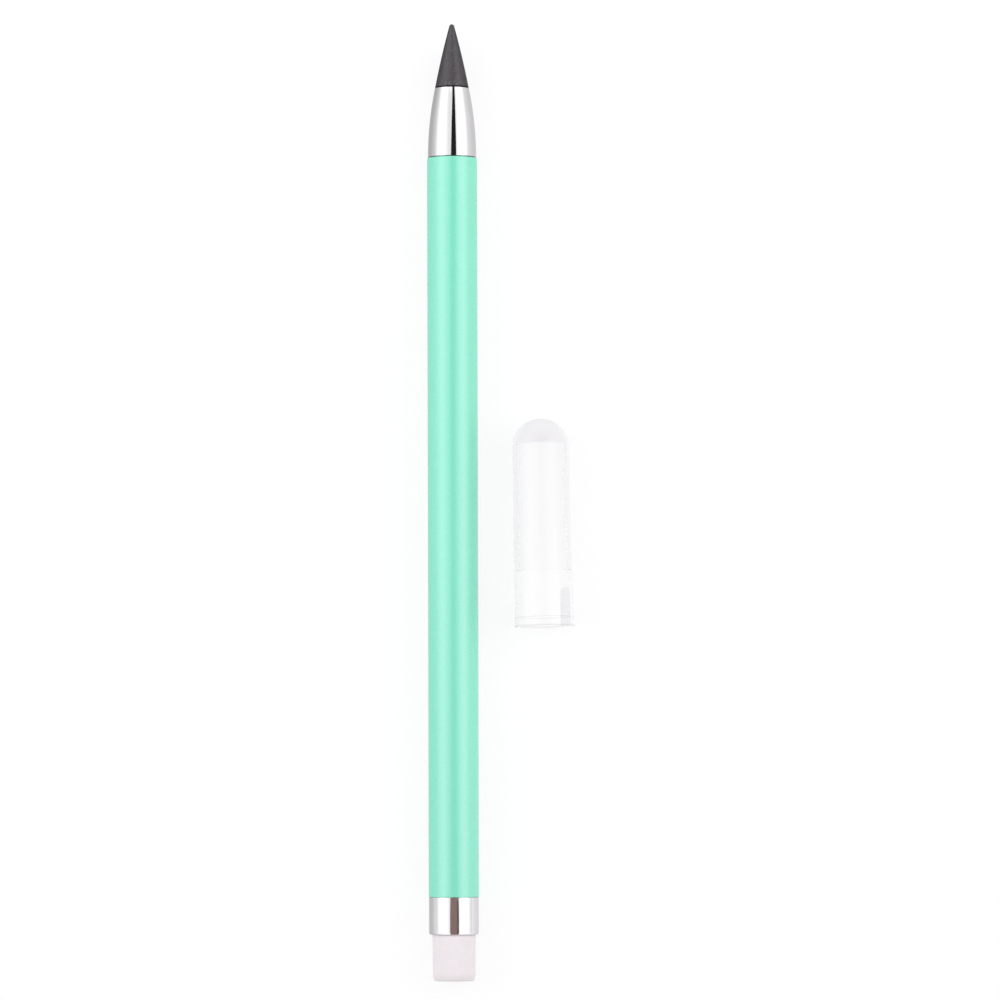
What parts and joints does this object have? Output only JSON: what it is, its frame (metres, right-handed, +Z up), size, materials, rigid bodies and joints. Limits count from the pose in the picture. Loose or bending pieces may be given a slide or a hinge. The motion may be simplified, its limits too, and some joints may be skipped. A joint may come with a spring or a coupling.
{
  "type": "inkless pencil",
  "caption": "Slim inkless pencil with a conical alloy nib, chromed nose and tail ferrule, lacquered metal barrel, end eraser and a translucent pull-off cap lying beside it.",
  "frame": {"origin": "on the barrel's axis, halfway along the barrel", "axes": "+Y along the pencil's axis towards the nib, +Z up from the table it lies on, +X towards the cap"},
  "size_m": [0.0262, 0.1718, 0.0106],
  "materials": {
    "nib_alloy": "pressed graphite and metal alloy, satin grey with a fine grain",
    "stud_brass": "turned brass with a fine thread",
    "chrome_plating": "bright mirror chrome",
    "mint_lacquer": "aluminium tube in satin mint green lacquer",
    "plug_plastic": "natural moulded plastic, hidden inside the barrel",
    "eraser_rubber": "powdery off-white vinyl rubber",
    "cap_plastic": "translucent natural polypropylene with a soft sheen"
  },
  "bodies": {
    "pencil": {"barrel": "mint_lacquer", "nose_cone": "chrome_plating", "front_plug": "plug_plastic", "tail_plug": "plug_plastic", "tail_ferrule": "chrome_plating"},
    "nib": {"nib": "nib_alloy", "nib_stud": "stud_brass"},
    "eraser": {"eraser": "eraser_rubber"},
    "cap": {"cap": "cap_plastic"}
  },
  "joints": [
    {"name": "nib_unscrew", "type": "slide", "parent": "pencil", "child": "nib", "axis": [0, 1, 0], "range_m": [0, 0.01]},
    {"name": "eraser_pull", "type": "slide", "parent": "pencil", "child": "eraser", "axis": [0, -1, 0], "range_m": [0, 0.006]},
    {"name": "cap_carry", "type": "slide", "parent": "pencil", "child": "cap", "axis": [0, 1, 0], "range_m": [0, 0.11]}
  ]
}
